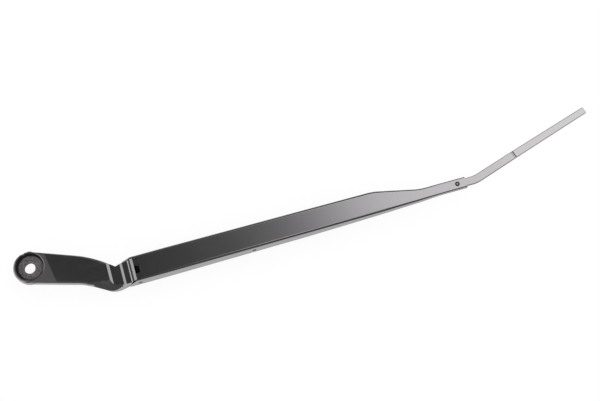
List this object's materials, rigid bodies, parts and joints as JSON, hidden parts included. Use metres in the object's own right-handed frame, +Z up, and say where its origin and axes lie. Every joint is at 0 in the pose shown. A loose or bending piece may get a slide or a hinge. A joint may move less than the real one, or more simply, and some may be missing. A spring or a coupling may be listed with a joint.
{
  "type": "windscreen wiper arm",
  "caption": "Windscreen wiper arm: cast mounting head, spring-loaded hinged channel and a flat cranked blade strip.",
  "frame": {"origin": "on the spindle hole's axis, at the underside of the mounting head", "axes": "+X along the channel towards the blade end, +Z up, away from the glass; the channel's middle lies on the -Y side of the spindle"},
  "size_m": [0.6308, 0.0636, 0.0233],
  "materials": {
    "head_paint": "satin black",
    "channel_paint": "semi-gloss black",
    "strip_paint": "semi-gloss dark grey",
    "pin_steel": "painted steel pin ends",
    "bright_steel": "zinc-plated steel",
    "bush_plastic": "natural acetal"
  },
  "bodies": {
    "head": {"mounting_head": "head_paint", "near_hinge_bush": "bush_plastic", "far_hinge_bush": "bush_plastic", "link_pin": "bright_steel"},
    "arm": {"channel": "channel_paint", "hinge_pin": "pin_steel", "anchor_pin": "pin_steel", "strip_rivet": "pin_steel", "blade_strip": "strip_paint"},
    "hook": {"spring_link": "bright_steel"},
    "spring": {"tension_spring": "bright_steel"}
  },
  "joints": [
    {"name": "arm_lift", "type": "hinge", "parent": "head", "child": "arm", "pos_m": [0.1064, -0.0313, 0.0033], "axis": [0, -1, 0], "range_deg": [0, 70]},
    {"name": "hook_turn", "type": "hinge", "parent": "head", "child": "hook", "pos_m": [0.1014, -0.0313, -0.0021], "axis": [0, -1, 0], "range_deg": [0, 67]},
    {"name": "spring_turn", "type": "hinge", "parent": "arm", "child": "spring", "pos_m": [0.2289, -0.0313, 0.0043], "axis": [0, -1, 0], "range_deg": [-4, 0]}
  ],
  "couplings": [
    {"joint": "hook_turn", "follows": "arm_lift", "ratio": 0.9472},
    {"joint": "spring_turn", "follows": "arm_lift", "ratio": -0.0528}
  ]
}
